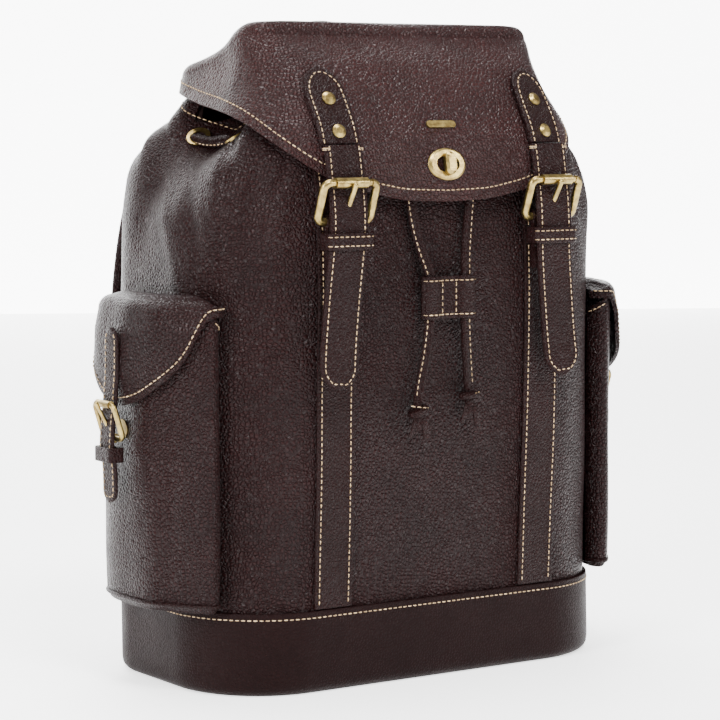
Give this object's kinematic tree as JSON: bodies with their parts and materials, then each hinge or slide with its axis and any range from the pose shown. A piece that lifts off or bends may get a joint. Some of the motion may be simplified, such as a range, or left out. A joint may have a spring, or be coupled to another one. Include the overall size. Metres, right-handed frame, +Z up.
{
  "type": "backpack",
  "caption": "Leather rucksack with a drawstring mouth, buckled flap with a turn lock, two buckled side pockets, a loop handle and two padded shoulder straps.",
  "frame": {"origin": "middle of the flat sole that the bag stands on", "axes": "+Z up through the mouth, front with the buckles faces -Y, left pocket is at -X as seen from the front"},
  "size_m": [0.3952, 0.2357, 0.4095],
  "materials": {
    "pebbled_leather": "satin pebbled grain",
    "smooth_leather": "satin smooth grain",
    "cotton_lining": "matt weave",
    "stiff_board": "matt",
    "antique_brass": "brushed"
  },
  "bodies": {
    "bag": {"base_boot": "smooth_leather", "base_board": "stiff_board", "front_panel": "pebbled_leather", "side_panel_left": "pebbled_leather", "side_panel_right": "pebbled_leather", "back_panel": "pebbled_leather", "back_pad": "cotton_lining", "lining": "cotton_lining", "mouth_facing": "pebbled_leather", "laptop_divider": "cotton_lining", "front_strips": "pebbled_leather", "neck_eyelets": "antique_brass", "neck_cord": "smooth_leather", "cord_tail_left": "smooth_leather", "cord_tail_right": "smooth_leather", "cord_knot_left": "smooth_leather", "cord_knot_right": "smooth_leather", "turnlock_base": "antique_brass", "snap_studs": "antique_brass", "pocket_left_shell": "pebbled_leather", "pocket_right_shell": "pebbled_leather", "strap_yoke": "smooth_leather", "lower_tabs": "smooth_leather"},
    "slider": {"cord_slider": "smooth_leather"},
    "flap": {"flap_leather": "pebbled_leather", "flap_facing": "cotton_lining", "flap_straps": "smooth_leather", "flap_rivets": "antique_brass", "turnlock_plate": "antique_brass", "badge": "antique_brass"},
    "lock_knob": {"turnlock_knob": "antique_brass"},
    "handle": {"handle_loop": "smooth_leather"},
    "closure_left": {"closure_strap_left": "smooth_leather", "buckle_frame_left": "antique_brass", "buckle_keeper_left": "smooth_leather", "buckle_chape_left": "smooth_leather"},
    "prong_left": {"buckle_prong_left": "antique_brass"},
    "roller_left": {"buckle_roller_left": "antique_brass"},
    "pocket_lid_left": {"pocket_left_flap": "pebbled_leather"},
    "pocket_tongue_left": {"pocket_left_strap": "smooth_leather", "pocket_left_buckle": "antique_brass", "pocket_left_keeper": "smooth_leather"},
    "pocket_pin_left": {"pocket_left_prong": "antique_brass"},
    "carry_left": {"shoulder_pad_left": "smooth_leather", "lower_strap_left": "smooth_leather", "strap_adjuster_left": "antique_brass"},
    "closure_right": {"closure_strap_right": "smooth_leather", "buckle_frame_right": "antique_brass", "buckle_keeper_right": "smooth_leather", "buckle_chape_right": "smooth_leather"},
    "prong_right": {"buckle_prong_right": "antique_brass"},
    "roller_right": {"buckle_roller_right": "antique_brass"},
    "pocket_lid_right": {"pocket_right_flap": "pebbled_leather"},
    "pocket_tongue_right": {"pocket_right_strap": "smooth_leather", "pocket_right_buckle": "antique_brass", "pocket_right_keeper": "smooth_leather"},
    "pocket_pin_right": {"pocket_right_prong": "antique_brass"},
    "carry_right": {"shoulder_pad_right": "smooth_leather", "lower_strap_right": "smooth_leather", "strap_adjuster_right": "antique_brass"}
  },
  "joints": [
    {"name": "flap_hinge", "type": "hinge", "parent": "bag", "child": "flap", "pos_m": [0, 0.055, 0.368], "axis": [-1, 0, 0], "range_deg": [0, 105]},
    {"name": "handle_fold", "type": "hinge", "parent": "bag", "child": "handle", "pos_m": [0, 0.0634, 0.352], "axis": [-1, 0, 0], "range_deg": [0, 105]},
    {"name": "lock_turn", "type": "hinge", "parent": "flap", "child": "lock_knob", "pos_m": [0, -0.0889, 0.319], "axis": [0, -0.9837, 0.1799], "range_deg": [0, 90]},
    {"name": "slider_slide", "type": "slide", "parent": "bag", "child": "slider", "axis": [0, 0, -1], "range_m": [0, 0.03], "deforming": ["cord_tail_left", "cord_tail_right"]},
    {"name": "closure_left_lift", "type": "hinge", "parent": "flap", "child": "closure_left", "pos_m": [-0.077, -0.0896, 0.331], "axis": [-1, 0, 0], "range_deg": [0, 60]},
    {"name": "prong_left_turn", "type": "hinge", "parent": "closure_left", "child": "prong_left", "pos_m": [-0.077, -0.091, 0.286], "axis": [1, 0, 0], "range_deg": [0, 44]},
    {"name": "roller_left_spin", "type": "hinge", "parent": "closure_left", "child": "roller_left", "pos_m": [-0.077, -0.0995, 0.309], "axis": [1, 0, 0], "continuous": true},
    {"name": "pocket_lid_left_lift", "type": "hinge", "parent": "bag", "child": "pocket_lid_left", "pos_m": [-0.1526, -0.003, 0.2404], "axis": [0, 1, 0], "range_deg": [0, 95]},
    {"name": "pocket_tongue_left_lift", "type": "hinge", "parent": "pocket_lid_left", "child": "pocket_tongue_left", "pos_m": [-0.1854, -0.003, 0.222], "axis": [0, 1, 0], "range_deg": [0, 70]},
    {"name": "pocket_pin_left_turn", "type": "hinge", "parent": "pocket_tongue_left", "child": "pocket_pin_left", "pos_m": [-0.1848, -0.003, 0.155], "axis": [0, -1, 0], "range_deg": [0, 55]},
    {"name": "carry_left_swing", "type": "hinge", "parent": "bag", "child": "carry_left", "pos_m": [-0.076, 0.08, 0.336], "axis": [-0.1164, 0, -0.9932], "range_deg": [-9, 9]},
    {"name": "closure_right_lift", "type": "hinge", "parent": "flap", "child": "closure_right", "pos_m": [0.077, -0.0896, 0.331], "axis": [-1, 0, 0], "range_deg": [0, 60]},
    {"name": "prong_right_turn", "type": "hinge", "parent": "closure_right", "child": "prong_right", "pos_m": [0.077, -0.091, 0.286], "axis": [1, 0, 0], "range_deg": [0, 44]},
    {"name": "roller_right_spin", "type": "hinge", "parent": "closure_right", "child": "roller_right", "pos_m": [0.077, -0.0995, 0.309], "axis": [1, 0, 0], "continuous": true},
    {"name": "pocket_lid_right_lift", "type": "hinge", "parent": "bag", "child": "pocket_lid_right", "pos_m": [0.1526, -0.003, 0.2404], "axis": [0, -1, 0], "range_deg": [0, 95]},
    {"name": "pocket_tongue_right_lift", "type": "hinge", "parent": "pocket_lid_right", "child": "pocket_tongue_right", "pos_m": [0.1854, -0.003, 0.222], "axis": [0, -1, 0], "range_deg": [0, 70]},
    {"name": "pocket_pin_right_turn", "type": "hinge", "parent": "pocket_tongue_right", "child": "pocket_pin_right", "pos_m": [0.1848, -0.003, 0.155], "axis": [0, 1, 0], "range_deg": [0, 55]},
    {"name": "carry_right_swing", "type": "hinge", "parent": "bag", "child": "carry_right", "pos_m": [0.076, 0.08, 0.336], "axis": [0.1164, 0, -0.9932], "range_deg": [-9, 9]}
  ],
  "couplings": [
    {"joint": "handle_fold", "follows": "flap_hinge", "ratio": 1}
  ]
}
